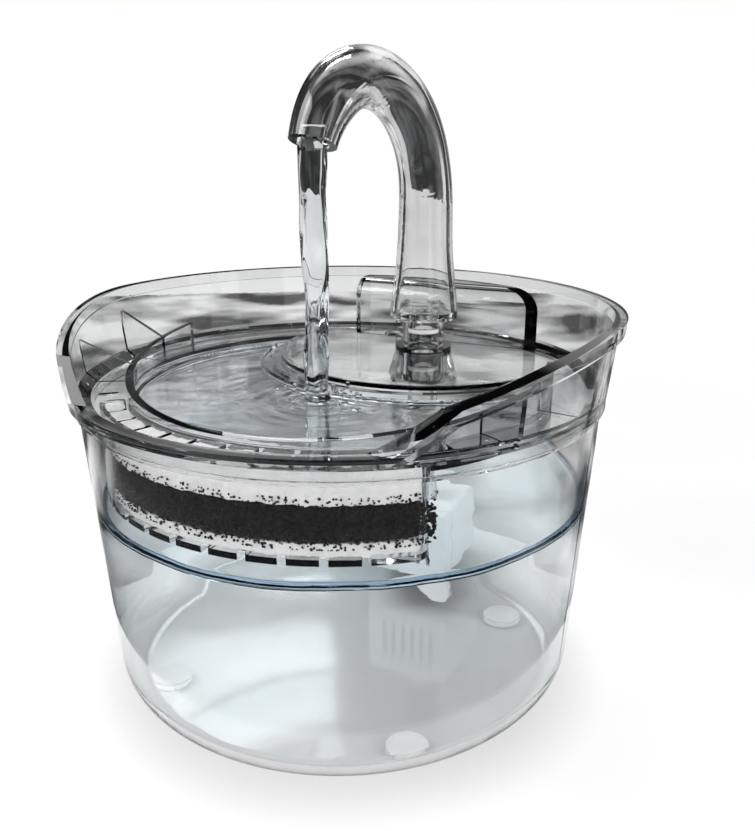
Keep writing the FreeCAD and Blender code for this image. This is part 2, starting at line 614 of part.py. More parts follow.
def make_tray():
    """The clear lift-off cover: a flared wall with a rolled lip, a deck with drain slots,
    a sunk drinking bowl with a slanting ring and a stepped terrace round the tap."""
    wall = turned("tray_wall_blank", [
        ("skirt_inner_r", "skirt_low"),
        ("skirt_r", "skirt_low"),
        ("skirt_r", "seat_z"),
        ("tray_base_r", "seat_z"),
        ("tray_rim_r", "rim_z"),
        ("tray_inner_rim_r", "rim_z"),
        ("tray_inner_foot_r", "tray_inner_foot_z"),
        ("deck_r", "deck_z"),
        ("0", "deck_z"),
        ("0", "deck_under"),
        ("skirt_inner_r", "deck_under"),
    ])
    trimmed_wall = common("tray_wall_trimmed", wall, rim_keep("rim_keep_wall", "0"))

    lip_blank = turned("lip_blank", [
        ("lip_root_foot_r", "seat_z"),
        ("lip_foot_r", "seat_z"),
        ("lip_rim_r", "rim_z"),
        ("lip_root_rim_r", "rim_z"),
    ])
    lip_upper = common("lip_upper", lip_blank, rim_keep("rim_keep_lip", "0"))
    lip = cut("tray_lip", lip_upper, rim_keep("rim_keep_under_lip", "lip_high"))

    bowl_block = upright("bowl_block", "ring_r", "bowl_under", "ring_side_z")
    ring_top = side_prism("ring_top", [
        ("-reach", "bowl_under"),
        ("reach", "bowl_under"),
        ("reach", "deck_z"),
        ("ring_end_y", "deck_z"),
        ("ring_end_y", "ring_side_z"),
        ("-ring_r", "ring_front_z"),
        ("-reach", "ring_front_z"),
    ], "reach")
    bowl_outer = common("bowl_outer", bowl_block, ring_top)

    terrace_high = upright("terrace_high", "terrace_r", "bowl_under", "deck_z", "tap_x", "tap_y")
    terrace_mid = upright("terrace_mid", "terrace_mid_r", "bowl_under", "terrace_mid_z", "tap_x", "tap_y")
    terrace_low = upright("terrace_low", "terrace_low_r", "bowl_under", "terrace_low_z", "tap_x", "tap_y")
    bowl_space = upright("bowl_space", "bowl_r", "bowl_z", "rim_z")
    bowl_hollow = cut("bowl_hollow", bowl_space, terrace_high, terrace_mid, terrace_low)
    under_space = upright("under_space", "terrace_r - bowl_wall", "bowl_under - 1", "deck_under", "tap_x", "tap_y")

    ribs = []
    for side, base_turn in (("right", 0), ("left", 180)):
        sign = -1 if side == "right" else 1
        for place, alias in (("front", "front_rib_turn"), ("rear", "rear_rib_turn")):
            turn = base_turn + sign * val(alias)
            ribs.append(radial_prism(f"rib_{place}_{side}", [
                ("rib_inner_r", "deck_under"),
                ("deck_r", "deck_under"),
                ("rib_outer_r", "tray_inner_foot_z"),
                ("rib_outer_r", f"rib_{place}_wall_z"),
                ("rib_inner_r", f"rib_{place}_ring_z"),
            ], "rib_wall", turn))

    slots = []
    first = -90 - val("slot_pitch") * (val("slot_count") - 1) / 2
    for number in range(int(val("slot_count"))):
        turn = first + number * val("slot_pitch")
        slots.append(radial_prism(f"drain_slot_{number}", [
            ("slot_inner_r", "skirt_low"),
            ("slot_outer_r", "skirt_low"),
            ("slot_outer_r", "deck_z_above"),
            ("slot_inner_r", "deck_z_above"),
        ], "slot_wide", turn))

    socket_hole = upright("socket_hole", "socket_hole_r", "bowl_under - 1", "deck_z + 1", "tap_x", "tap_y")
    cable_hole = upright("cable_hole", "cable_hole_r", "bowl_under - 1", "deck_z + 1",
                         "-cable_hole_x", "cable_hole_y")
    notch = block("cable_notch", "-cable_hole_x - cable_notch_wide / 2", "-cable_hole_x + cable_notch_wide / 2",
                  "cover_front_y + cover_wall", "tray_rim_r + lip_out + 5", "notch_low", "notch_z")

    whole = fuse("tray_whole", trimmed_wall, lip, bowl_outer, *ribs)
    node("tray", cut("tray_cut", whole, bowl_hollow, under_space, socket_hole, cable_hole, notch, *slots))


def make_cable_cover():
    """The clear hump behind the tap that covers the cable hole, with a rounded front
    edge. It tapers into the tray wall on the right."""
    far = "tray_rim_r + 10"
    outer_disc = upright("cover_disc", "cover_r", "deck_z", "cover_z")
    outer_block = block("cover_block", "-cover_left", far, "cover_front_y", far, "deck_z", "cover_z")
    outer = round_edges("cover_outer", common("cover_outer_blank", outer_disc, outer_block), "cover_round_r",
                        lambda edge: is_near(edge.BoundBox.ZMin, val("cover_z")) and edge.BoundBox.YLength < 0.01)
    inner_disc = upright("cover_inner_disc", "cover_inner_r", "deck_z - 1", "cover_inner_z")
    inner_block = block("cover_inner_block", "-cover_inner_left", far, "cover_inner_front", far,
                        "deck_z - 1", "cover_inner_z")
    inner = round_edges("cover_inner", common("cover_inner_blank", inner_disc, inner_block), "cover_inner_round_r",
                        lambda edge: is_near(edge.BoundBox.ZMin, val("cover_inner_z"))
                        and edge.BoundBox.YLength < 0.01)
    notch = block("cover_notch", "-cable_hole_x - cable_notch_wide / 2", "-cable_hole_x + cable_notch_wide / 2",
                  "cable_hole_y", far, "deck_z - 1", "notch_z")
    node("cable_cover", cut("cover_shell", outer, inner, notch))


def make_socket():
    """The tap socket through the deck, with a flange above and a flared hexagonal nut
    below."""
    tube = upright("socket_tube", "socket_r", "socket_low", "socket_z", "tap_x", "tap_y")
    flange = upright("socket_flange", "socket_flange_r", "deck_z", "socket_flange_z", "tap_x", "tap_y")
    bore = upright("socket_bore", "socket_bore_r", "socket_low - 1", "socket_z + 1", "tap_x", "tap_y")
    node("tap_socket", cut("socket_cut", fuse("socket_whole", tube, flange), bore))
    rings = []
    for name, radius, height in (("nut_foot", "nut_foot_r", "nut_low"), ("nut_top", "nut_top_r", "deck_under")):
        ring = doc.addObject("Part::RegularPolygon", name)
        ring.Polygon = 6
        bind(ring, Circumradius=radius)
        rings.append(at(ring, "tap_x", "tap_y", height))
    flare = doc.addObject("Part::Loft", "nut_flare")
    flare.Sections = rings
    flare.Solid = True
    flare.Ruled = True
    nut_bore = upright("nut_bore", "socket_hole_r", "nut_low - 1", "deck_under + 1", "tap_x", "tap_y")
    node("socket_nut", cut("nut_cut", flare, nut_bore))


def tap_stations():
    """Centre, lean and radius of each cross-section of the tap, from foot to outlet, in
    the tap's own plane: forward distance, height, lean from upright and radius."""
    bend = val("tap_bend_r")
    drop = val("tap_drop_r")
    leg_top = val("tap_leg_z")
    top = val("tap_top_z")
    stations = [
        (0, val("tap_z"), 0, val("tap_collar_r")),
        (0, val("tap_collar_z"), 0, val("tap_collar_r") - 0.3),
        (0, val("tap_knee_z"), 0, val("tap_knee_r")),
        (0, val("tap_mid_z"), 0, val("tap_leg_r")),
        (0, leg_top, 0, (val("tap_leg_r") + val("tap_arch_r")) / 2),
    ]
    for lean in (25, 50, 75):
        turn = math.radians(lean)
        stations.append((bend - bend * math.cos(turn), leg_top + bend * math.sin(turn), lean, val("tap_arch_r")))
    for share in (0, 0.33, 0.67, 1):
        lean = val("tap_outlet_turn") * share
        turn = math.radians(lean)
        radius = val("tap_arch_r") + (val("tap_outlet_r") - val("tap_arch_r")) * share * share
        stations.append((bend + drop * math.sin(turn), top - drop + drop * math.cos(turn), 90 + lean, radius))
    return stations


def tap_tube(name, thinner, overrun):
    """A smooth loft through the tap's cross-sections, thinner by a wall, and run past
    both ends by overrun."""
    wires = []
    for forward, height, lean, radius in tap_stations():
        turn = math.radians(lean)
        along = Vector(0, -math.sin(turn), math.cos(turn))
        circle = Part.makeCircle(radius - thinner, Vector(0, -forward, height), along)
        wires.append(Part.Wire([circle]))
    tube = Part.makeLoft(wires, True, False)
    item = doc.addObject("Part::Feature", name)
    if overrun:
        forward, height, lean, radius = tap_stations()[-1]
        turn = math.radians(lean)
        along = Vector(0, -math.sin(turn), math.cos(turn))
        start = Vector(0, -forward, height)
        tube = tube.fuse(Part.makeCylinder(radius - thinner, overrun, start, along))
    item.Shape = tube
    return item


def make_tap():
    """The clear swan-neck tap with its foot, spigot and seal ring."""
    resting = Placement(Vector(val("tap_x"), val("tap_y"), 0), Rotation(Vector(0, 0, 1), val("tap_turn")))
    outside = tap_tube("tap_outside", 0, 0)
    inside = tap_tube("tap_inside", val("tap_wall"), 2)
    floor = upright("tap_floor", "tap_collar_r - tap_wall / 2", "tap_z", "tap_z + tap_wall")
    spigot = upright("tap_spigot", "spigot_r", "spigot_low", "tap_z + tap_wall")
    bore = upright("tap_spigot_bore", "spigot_bore_r", "spigot_low - 1", "tap_z + tap_wall + 1")
    groove = cut("seal_groove", upright("groove_outer", "spigot_r + 1", "seal_z - seal_section_r",
                                        "seal_z + seal_section_r"),
                 upright("groove_inner", "seal_inner_r", "seal_z - 3", "seal_z + 3"))
    shell = fuse("tap_whole", cut("tap_shell", outside, inside), floor, spigot)
    node("tap", cut("tap_cut", shell, bore, groove), resting)
    ring = doc.addObject("Part::Torus", "seal_ring")
    bind(ring, Radius1="seal_ring_r", Radius2="seal_section_r")
    node("tap_seal_ring", at(ring, "tap_x", "tap_y", "seal_z"))


def segment(name, radius, back, corner, low, high):
    """A half-moon solid in front of the centre with rounded upright corners."""
    disc = upright(name + "_disc", radius, low, high)
    front = block(name + "_front", "-reach", "reach", "-reach", f"-({back})", low, high)
    return round_edges(name, common(name + "_blank", disc, front), corner, is_upright)


def make_filter():
    """The half-moon filter box under the drain slots, with its cotton and carbon layers."""
    box = segment("filter_outer", "filter_r", "filter_back_y", "filter_corner_r", "filter_low", "filter_z")
    space = segment("filter_space", "filter_inner_r", "filter_inner_back", "filter_inner_corner_r",
                    "filter_floor_z", "filter_z + 1")
    notch = upright("filter_notch", "filter_notch_r", "filter_notch_z", "filter_z + 1")
    drains = []
    first = -90 - val("drain_pitch") * (val("drain_count") - 1) / 2
    for number in range(int(val("drain_count"))):
        turn = first + number * val("drain_pitch")
        drains.append(radial_prism(f"drain_{number}", [
            ("drain_inner_r", "drain_low"),
            ("drain_outer_r", "drain_low"),
            ("drain_outer_r", "drain_z"),
            ("drain_inner_r", "drain_z"),
        ], "drain_wide", turn))
    node("filter_box", cut("filter_cut", box, space, notch, *drains))
    for label, low, high in (("cotton_pad_lower", "filter_floor_z", "carbon_low"),
                             ("carbon_layer", "carbon_low", "carbon_z")):
        node(label, segment(label + "_form", "media_r", "media_back", "media_corner_r", low, high))
    upper = segment("cotton_upper", "media_r", "media_back", "media_corner_r", "carbon_z", "cotton_z")
    upper_notch = upright("cotton_notch", "cotton_notch_r", "cotton_back_z", "cotton_z + 1")
    node("cotton_pad_upper", cut("cotton_upper_cut", upper, upper_notch))


def pump_block(name, y_low, y_high, inset="0"):
    """A box across the pump's width and height between two depths."""
    return block(name, f"pump_left + {inset}", f"pump_right - {inset}", y_low, y_high,
                 f"pump_low + {inset}", f"pump_z - {inset}")


def along_depth(edge):
    """Whether an edge runs along Y."""
    first, last = edge.Vertexes[0].Point, edge.Vertexes[-1].Point
    return is_near(first.x, last.x) and is_near(first.z, last.z) and abs(first.y - last.y) > 1


def make_pump():
    """The pump casing with its impeller chamber, rotor well, outlet nipple and motor
    space, closed by the chamber plate, the back plate and the slotted intake cover."""
    casing = round_edges("casing_round", pump_block("casing_block", "housing_y", "back_plate_y"),
                         "pump_round_r", along_depth)
    nipple = upright("casing_nipple", "nipple_r", "pump_z - pump_wall", "nipple_z", "tap_x", "tap_y")
    chamber = lying("chamber_space", "chamber_r", "housing_y - 1", "chamber_back_y")
    well = lying("well_space", "well_r", "chamber_back_y - 1", "well_back_y")
    well_post = lying("well_post", "well_outer_r", "motor_space_y - 1", "well_end_y")
    motor_box = pump_block("motor_box", "motor_space_y", "back_plate_y + 1", "pump_wall")
    motor_space = cut("motor_space", motor_box, well_post)
    outlet = upright("casing_outlet", "nipple_bore_r", "axis_z", "nipple_z + 1", "tap_x", "tap_y")
    necks = [neck_hole(number, corner) for number, corner in enumerate(cup_corners())]
    node("pump_casing", cut("casing", fuse("casing_whole", casing, nipple),
                            motor_space, chamber, well, outlet, *necks))

    plate = round_edges("back_plate_round", pump_block("back_plate_block", "back_plate_y", "pump_back_y"),
                        "pump_round_r", along_depth)
    gland_hole = lying("gland_hole", "gland_neck_r + run_fit", "back_plate_y - 1", "pump_back_y + 1",
                       "gland_x", "gland_z")
    node("pump_back_plate", cut("back_plate", plate, gland_hole))

    gland_neck = lying("gland_neck", "gland_neck_r", "back_plate_y", "pump_back_y", "gland_x", "gland_z")
    gland_cone = doc.addObject("Part::Cone", "gland_cone")
    gland_cone.Placement = Placement(Vector(), Rotation(Vector(1, 0, 0), -90))
    bind(gland_cone, Radius1="gland_r", Radius2="gland_bore_r + gland_tip_wall", Height="gland_long")
    at(gland_cone, "gland_x", "pump_back_y", "gland_z")
    gland_bore = lying("gland_bore", "gland_bore_r", "back_plate_y - 1", "pump_back_y + gland_long + 1",
                       "gland_x", "gland_z")
    node("cable_gland", cut("gland", fuse("gland_whole", gland_neck, gland_cone), gland_bore))

    chamber_plate = lying("chamber_plate_disc", "chamber_r + 2", "volute_y", "housing_y")
    eye = lying("chamber_eye", "intake_eye_r", "volute_y - 1", "housing_y + 1")
    spoke_flat = block("chamber_spoke_flat", "tap_x - intake_eye_r - 0.5", "tap_x + intake_eye_r + 0.5",
                       "volute_y", "housing_y", "axis_z - spoke_wide / 2", "axis_z + spoke_wide / 2")
    spoke_upright = block("chamber_spoke_upright", "tap_x - spoke_wide / 2", "tap_x + spoke_wide / 2",
                          "volute_y", "housing_y", "axis_z - intake_eye_r - 0.5", "axis_z + intake_eye_r + 0.5")
    bush_seat = lying("chamber_bush_seat", "bush_r + bush_seat_wall", "volute_y", "bush_front_end_y")
    bush_hole = lying("chamber_bush_hole", "bush_r", "volute_y - 1", "bush_front_end_y + 1")
    spider = fuse("chamber_spider", cut("chamber_ring", chamber_plate, eye), spoke_flat, spoke_upright, bush_seat)
    node("chamber_plate", cut("chamber_plate_cut", spider, bush_hole))


def cup_corners():
    """Where each suction cup stands under the pump, as formulas."""
    left, right = "pump_left + cup_side_inset", "pump_right - cup_side_inset"
    front, back = "housing_y + cup_front_inset", "back_plate_y - cup_back_inset"
    return [(left, front), (right, front), (left, back), (right, back)]


def neck_hole(number, corner):
    x, y = corner
    return upright(f"neck_hole_{number}", "cup_neck_r + run_fit", "pump_low - 1", "pump_low + cup_neck_deep", x, y)


def make_suction_cups():
    """Four rubber cups between the pump and the tank floor, each with a hollow foot and a
    neck in the pump."""
    labels = ["suction_cup_front_left", "suction_cup_front_right", "suction_cup_rear_left", "suction_cup_rear_right"]
    for number, (x, y) in enumerate(cup_corners()):
        foot = doc.addObject("Part::Cone", f"cup_foot_{number}")
        bind(foot, Radius1="cup_r", Radius2="cup_neck_r + 0.8", Height="cup_high")
        at(foot, x, y, "tank_inside_low")
        neck = upright(f"cup_neck_{number}", "cup_neck_r", "tank_inside_low + 1", "pump_low + cup_neck_deep", x, y)
        hollow = doc.addObject("Part::Cone", f"cup_hollow_{number}")
        bind(hollow, Radius1="cup_r - 1.2", Radius2="cup_neck_r", Height="cup_high / 3")
        at(hollow, x, y, "tank_inside_low")
        node(labels[number], cut(f"cup_{number}", fuse(f"cup_whole_{number}", foot, neck), hollow))


def make_intake():
    """The slotted intake cover, its sponge and the flow slider with its thumb piece."""
    shell = round_edges("intake_round", pump_block("intake_block", "intake_y", "intake_y + intake_deep"),
                        "pump_round_r", along_depth)
    space = pump_block("intake_space", "intake_y + intake_wall", "intake_y + intake_deep + 1", "intake_wall")
    first = "tap_x - intake_slot_pitch * (intake_slot_count - 1) / 2"
    slots = []
    for number in range(int(val("intake_slot_count"))):
        centre = f"{first} + {number} * intake_slot_pitch"
        slots.append(block(f"intake_slot_{number}", f"{centre} - intake_slot_wide / 2",
                           f"{centre} + intake_slot_wide / 2", "intake_y - 1", "intake_y + intake_wall + 1",
                           "axis_z - intake_slot_high / 2", "axis_z + intake_slot_high / 2"))
    thumb_slot = block("thumb_slot", "tap_x - thumb_wide / 2 - gap",
                       "tap_x + thumb_wide / 2 + flow_travel + gap",
                       "intake_y + intake_wall", "intake_y + intake_wall + 2 * gap + shutter_wall",
                       "pump_z - intake_wall - 1", "pump_z + 1")
    node("intake_cover", cut("intake", shell, space, thumb_slot, *slots))

    shutter_y = "(intake_y + intake_wall + gap)"
    last = "tap_x + intake_slot_pitch * (intake_slot_count - 1) / 2"
    plate = block("shutter_plate", f"{first} - shutter_edge", f"{last} + shutter_edge",
                  shutter_y, f"{shutter_y} + shutter_wall",
                  "axis_z - intake_slot_high / 2 - 2", "pump_z - intake_wall - gap")
    thumb = block("shutter_thumb", "tap_x - thumb_wide / 2", "tap_x + thumb_wide / 2",
                  shutter_y, f"{shutter_y} + shutter_wall", "pump_z - intake_wall - 1", "pump_z + thumb_high")
    openings = []
    for number in range(int(val("intake_slot_count"))):
        centre = f"{first} + {number} * intake_slot_pitch"
        openings.append(block(f"shutter_opening_{number}", f"{centre} - intake_slot_wide / 2",
                              f"{centre} + intake_slot_wide / 2", f"{shutter_y} - 1", f"{shutter_y} + 3",
                              "axis_z - intake_slot_high / 2", "axis_z + intake_slot_high / 2"))
    node("flow_slider", cut("shutter", fuse("shutter_whole", plate, thumb), *openings))

    sponge_y = f"({shutter_y} + shutter_wall + gap)"
    node("intake_sponge", block("sponge", "pump_left + intake_wall + gap", "pump_right - intake_wall - gap",
                                sponge_y, f"{sponge_y} + sponge_deep",
                                "pump_low + intake_wall + gap", "pump_z - intake_wall - gap"))


def make_rotor():
    """The impeller with its blades, the rotor magnet, the fixed shaft and its bushes."""
    hub = lying("impeller_hub", "impeller_hub_r", "impeller_front_y", "rotor_front_y")
    plate = lying("impeller_plate", "impeller_r", "impeller_plate_y", "rotor_front_y")
    blades = []
    for number in range(int(val("blade_count"))):
        blade = doc.addObject("Part::Box", f"blade_{number}")
        turn = 360 / val("blade_count") * number
        bind(blade, Length="impeller_r - shaft_r - 1", Width="impeller_deep", Height="blade_wall")
        offset = Placement(Vector(val("shaft_r") + 0.8, 0, -val("blade_wall") / 2), Rotation())
        spin = Placement(Vector(val("tap_x"), val("impeller_front_y"), val("axis_z")),
                         Rotation(Vector(0, 1, 0), turn))
        blade.Placement = spin.multiply(offset)
        blades.append(blade)
    trim = lying("impeller_trim", "impeller_r", "impeller_front_y", "rotor_front_y")
    bore = lying("impeller_bore", "shaft_bore_r", "impeller_front_y - 1", "rotor_front_y + 1")
    blank = common("impeller_trimmed", fuse("impeller_whole", hub, plate, *blades), trim)
    node("impeller", cut("impeller_cut", blank, bore))

    magnet = lying("magnet_body", "rotor_r", "rotor_front_y", "rotor_back_y")
    magnet_bore = lying("magnet_bore", "shaft_bore_r", "rotor_front_y - 1", "rotor_back_y + 1")
    node("rotor_magnet", cut("magnet", magnet, magnet_bore))
    node("impeller_shaft", lying("shaft", "shaft_r", "bush_front_y + 0.4", "well_back_y - 0.4"))

    for label, front, back in (("shaft_bush_front", "bush_front_y", "bush_front_end_y"),
                               ("shaft_bush_rear", "bush_rear_y", "well_back_y")):
        radius = "bush_r - run_fit" if label == "shaft_bush_front" else "well_r - run_fit"
        body = lying(label + "_body", radius, front, back)
        hole = lying(label + "_hole", "shaft_r", f"{front} - 1", f"{back} + 1")
        node(label, cut(label + "_cut", body, hole))


def make_motor():
    """The U-shaped stator core round the rotor well and its winding on the lower yoke."""
    core_y = "motor_space_y"
    core = block("core_block", "tap_x - core_wide / 2", "tap_x + core_wide / 2",
                 core_y, f"{core_y} + core_deep", "pump_low + pump_wall + coil_build", "axis_z + 6")
    window = block("core_window", "tap_x - core_wide / 2 + core_leg", "tap_x + core_wide / 2 - core_leg",
                   f"{core_y} - 1", f"{core_y} + core_deep + 1",
                   "pump_low + pump_wall + coil_build + core_leg", "axis_z + 7")
    pole = lying("core_pole", "well_outer_r + run_fit", f"{core_y} - 1", f"{core_y} + core_deep + 1")
    node("stator_core", cut("core", core, window, pole))

    coil_wide = "(core_wide / 2 - core_leg - gap)"
    coil_outer = block("coil_outer", f"tap_x - {coil_wide}", f"tap_x + {coil_wide}",
                       f"{core_y} + gap", f"{core_y} + core_deep + coil_build", "pump_low + pump_wall + 0.1",
                       "pump_low + pump_wall + 2 * coil_build + core_leg - 0.5")
    coil_hole = block("coil_hole", f"tap_x - {coil_wide} - 1", f"tap_x + {coil_wide} + 1",
                      f"{core_y} - 1", f"{core_y} + core_deep", "pump_low + pump_wall + coil_build",
                      "pump_low + pump_wall + coil_build + core_leg")
    node("stator_coil", cut("coil", coil_outer, coil_hole))


def make_riser():
    """The clear riser tube from the pump's nipple up into the tap socket."""
    tube = doc.addObject("Part::Cone", "riser_cone")
    bind(tube, Radius1="riser_foot_r", Radius2="riser_r", Height="socket_low - 2 - pump_z - gap")
    at(tube, "tap_x", "tap_y", "pump_z + gap")
    upper = upright("riser_upper", "riser_r", "socket_low - 2", "riser_z", "tap_x", "tap_y")
    bore = upright("riser_bore", "riser_bore_r", "pump_z - 1", "riser_z + 1", "tap_x", "tap_y")
    node("riser_tube", cut("riser", fuse("riser_whole", tube, upper), bore))


make_tank()
make_foot_pads()
make_tray()
make_cable_cover()
make_socket()
make_tap()
make_filter()
make_pump()
make_suction_cups()
make_intake()
make_rotor()
make_motor()
make_riser()
doc.recompute()

for item in doc.Objects:
    if "Invalid" in item.State or "Error" in item.State:
        raise RuntimeError(f"{item.Name} did not build")
os.makedirs("parts", exist_ok=True)
for item in NODES:
    shape = item.Shape
    if shape.isNull() or not shape.isValid() or not shape.Solids:
        raise RuntimeError(f"{item.Label} has no valid solid")
    shape.exportStep(f"parts/{item.Label}.step")
print(len(NODES), "pieces written")
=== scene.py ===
"""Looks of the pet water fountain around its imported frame: clear plastic, water, filter
layers, pump and studio. Metres, +Z up, the drinking side faces -Y."""
import math
import random

import bmesh
import bpy
from mathutils import Matrix, Vector, noise

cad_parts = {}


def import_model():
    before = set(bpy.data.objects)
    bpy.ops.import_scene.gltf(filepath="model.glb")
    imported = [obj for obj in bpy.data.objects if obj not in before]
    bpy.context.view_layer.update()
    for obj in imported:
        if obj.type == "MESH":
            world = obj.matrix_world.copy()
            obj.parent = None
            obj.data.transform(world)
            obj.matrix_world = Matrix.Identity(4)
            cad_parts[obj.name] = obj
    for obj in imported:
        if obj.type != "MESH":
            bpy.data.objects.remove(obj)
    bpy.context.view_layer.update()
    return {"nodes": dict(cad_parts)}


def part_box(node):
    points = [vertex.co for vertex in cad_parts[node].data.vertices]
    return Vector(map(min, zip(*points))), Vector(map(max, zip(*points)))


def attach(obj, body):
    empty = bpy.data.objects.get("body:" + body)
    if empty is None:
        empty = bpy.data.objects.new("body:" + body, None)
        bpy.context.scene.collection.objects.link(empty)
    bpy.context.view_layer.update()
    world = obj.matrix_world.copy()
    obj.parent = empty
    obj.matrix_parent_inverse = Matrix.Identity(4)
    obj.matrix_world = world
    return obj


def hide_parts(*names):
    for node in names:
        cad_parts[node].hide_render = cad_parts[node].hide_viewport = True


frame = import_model()
NODES = frame["nodes"]
MM = 0.001

# places and sizes in millimetres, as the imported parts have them
TAP_X, TAP_Y = 8.5, 52.0
BOWL_R, BOWL_Z = 69.6, 100.5
TERRACE_LOW_R = 63.0
WATER_Z = 72.0
BOWL_WATER_Z = 104.0
STREAM_X, STREAM_Y, OUTLET_Z = -0.4, -16.9, 183.6
OUTLET_TILT = math.radians(20)
TANK_BASE_R, TANK_SLOPE, TANK_WALL = 80.7, 6.5 / 107.4, 2.0
TANK_FLOOR_Z, TANK_CORNER_R = 4.7, 11.0
TANK_MATTE_Z = 5.2
FILTER_INNER_R, FILTER_CHORD_Y = 78.7, -54.5
SKIN = 0.03


# ---------------------------------------------------------------- materials
class Shader:
    """A material with a Principled shader and short calls for its nodes."""

    def __init__(self, name, **inputs):
        self.material = bpy.data.materials.new(name)
        self.material.use_nodes = True
        self.tree = self.material.node_tree
        self.tree.nodes.clear()
        self.out = self.add("ShaderNodeOutputMaterial")
        self.main = self.add("ShaderNodeBsdfPrincipled")
        self.link(self.main.outputs["BSDF"], self.out.inputs["Surface"])
        self.place = self.add("ShaderNodeTexCoord").outputs["Object"]
        for key, value in inputs.items():
            self.main.inputs[key.replace("_", " ")].default_value = value

    def add(self, kind, **settings):
        node = self.tree.nodes.new(kind)
        for key, value in settings.items():
            setattr(node, key, value)
        return node

    def link(self, start, end):
        self.tree.links.new(start, end)

    def grain(self, scale, detail=3.0, rough=0.5, stretch=None):
        """Noise in object space, optionally stretched."""
        node = self.add("ShaderNodeTexNoise")
        node.inputs["Scale"].default_value = scale
        node.inputs["Detail"].default_value = detail
        node.inputs["Roughness"].default_value = rough
        self.link(self.mapped(stretch), node.inputs["Vector"])
        return node.outputs["Fac"]

    def cells(self, scale, feature="F1"):
        node = self.add("ShaderNodeTexVoronoi", feature=feature)
        node.inputs["Scale"].default_value = scale
        self.link(self.place, node.inputs["Vector"])
        return node.outputs["Distance"]

    def mapped(self, stretch):
        if stretch is None:
            return self.place
        node = self.add("ShaderNodeMapping")
        node.inputs["Scale"].default_value = stretch
        self.link(self.place, node.inputs["Vector"])
        return node.outputs["Vector"]

    def ramp(self, source, stops):
        node = self.add("ShaderNodeValToRGB")
        points = node.color_ramp.elements
        while len(points) < len(stops):
            points.new(0.5)
        for point, (where, shade) in zip(points, stops):
            point.position = where
            point.color = shade if len(shade) == 4 else (*shade, 1.0)
        self.link(source, node.inputs["Fac"])
        return node.outputs["Color"]

    def smooth(self, source, start, end, low=0.0, high=1.0):
        """A soft step from low to high as the source goes from start to end."""
        node = self.add("ShaderNodeMapRange", interpolation_type="SMOOTHSTEP")
        ends = {"From Min": start, "From Max": end, "To Min": low, "To Max": high}
        for key, value in ends.items():
            node.inputs[key].default_value = value
        self.link(source, node.inputs["Value"])
        return node.outputs["Result"]

    def axis(self, letter):
        node = self.add("ShaderNodeSeparateXYZ")
        self.link(self.place, node.inputs["Vector"])
        return node.outputs[letter]

    def joined(self, operation, first, second):
        node = self.add("ShaderNodeMath", operation=operation)
        self.link(first, node.inputs[0])
        self.link(second, node.inputs[1])
        return node.outputs["Value"]

    def level(self, source, low, high):
        node = self.add("ShaderNodeMapRange")
        node.inputs["To Min"].default_value = low
        node.inputs["To Max"].default_value = high
        self.link(source, node.inputs["Value"])
        return node.outputs["Result"]

    def bump(self, source, strength, distance, under=None):
        node = self.add("ShaderNodeBump")
        node.inputs["Strength"].default_value = strength
        node.inputs["Distance"].default_value = distance
        self.link(source, node.inputs["Height"])
        if under is not None:
            self.link(under, node.inputs["Normal"])
        return node.outputs["Normal"]

    def colour(self, socket):
        self.link(socket, self.main.inputs["Base Color"])
        return self

    def rough(self, socket):
        self.link(socket, self.main.inputs["Roughness"])
        return self

    def normal(self, socket):
        self.link(socket, self.main.inputs["Normal"])
        return self

    def absorb(self, shade, density):
        node = self.add("ShaderNodeVolumeAbsorption")
        node.inputs["Color"].default_value = (*shade, 1.0)
        node.inputs["Density"].default_value = density
        self.link(node.outputs["Volume"], self.out.inputs["Volume"])
        return self


def grey(value):
    return (value, value, value)


def clear_plastic(name, waves, density, rough_high, matte_below=None):
    """Clear moulded plastic: slight moulding waves, fine wear and a grey depth, with a matte
    moulded base under a height if asked."""
    shader = Shader(name, Transmission_Weight=1.0, IOR=1.49)
    shader.colour(shader.ramp(shader.grain(18, 2), [(0.3, grey(0.97)), (0.7, grey(0.995))]))
    wear = shader.level(shader.grain(420, 4, 0.7), 0.0, rough_high)
    if matte_below is not None:
        start, end = matte_below * MM, (matte_below + 2.0) * MM
        base = shader.smooth(shader.axis("Z"), start, end, 0.09, 0.0)
        wear = shader.joined("MAXIMUM", wear, base)
    shader.rough(wear)
    flow = shader.bump(shader.grain(38, 1.5, 0.4, (1, 1, 0.5)), waves, 0.0012)
    shader.normal(shader.bump(shader.grain(900, 2), 0.015, 0.0002, flow))
    return shader.absorb((0.55, 0.58, 0.60), density).material


def water(name, density, waves, bend=1.333, tint=(0.45, 0.78, 0.93)):
    """Clear water with faint swirls; a low bend keeps what stands in it in its place."""
    shader = Shader(name, Transmission_Weight=1.0, IOR=bend, Roughness=0.0)
    swirls = [(0.3, (0.93, 0.975, 0.99)), (0.7, (0.98, 0.995, 1.0))]
    shader.colour(shader.ramp(shader.grain(12, 2), swirls))
    shader.normal(shader.bump(shader.grain(45, 2, 0.45), waves, 0.002))
    return shader.absorb(tint, density).material


def moulded(name, low, high, rough, grain_scale=700, coat=0.0):
    """Opaque moulded plastic with fine grain and faint flow clouds."""
    shader = Shader(name, Coat_Weight=coat, Coat_Roughness=0.2)
    shader.colour(shader.ramp(shader.grain(30, 4, 0.6), [(0.3, low), (0.75, high)]))
    shader.rough(shader.level(shader.grain(160, 5), rough - 0.07, rough + 0.09))
    shader.normal(shader.bump(shader.grain(grain_scale, 3), 0.12, 0.0004))
    return shader.material


